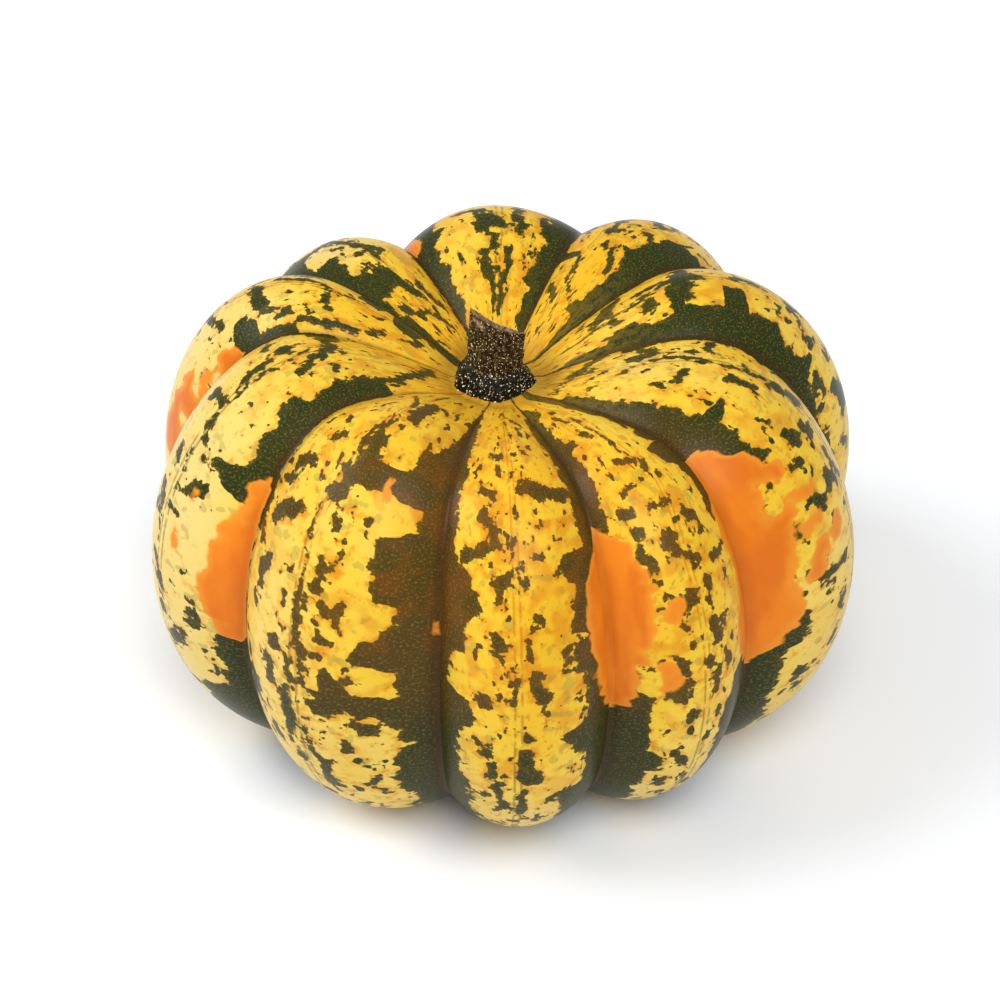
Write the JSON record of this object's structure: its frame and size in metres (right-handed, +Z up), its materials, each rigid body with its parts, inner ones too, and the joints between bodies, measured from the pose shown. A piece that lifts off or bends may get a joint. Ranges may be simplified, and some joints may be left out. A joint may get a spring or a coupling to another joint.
{
  "type": "acorn squash",
  "caption": "Mottled acorn squash with deep rounded lobes, standing on its blossom end, with a short ribbed dry stem in the hollow of its top.",
  "frame": {"origin": "middle of the flat blossom scar that the squash stands on", "axes": "+Z up along the fruit from the blossom scar to the stem, -Y towards the narrow front lobe, +X to the right of it"},
  "size_m": [0.1464, 0.1395, 0.0951],
  "materials": {
    "rind": "satin waxy rind, yellow mottled with dark green, orange patches in the furrows",
    "dry_stem": "dry, rough, dark olive brown with pale bristle marks"
  },
  "bodies": {
    "root": {"fruit": "rind", "stem": "dry_stem"}
  },
  "joints": []
}
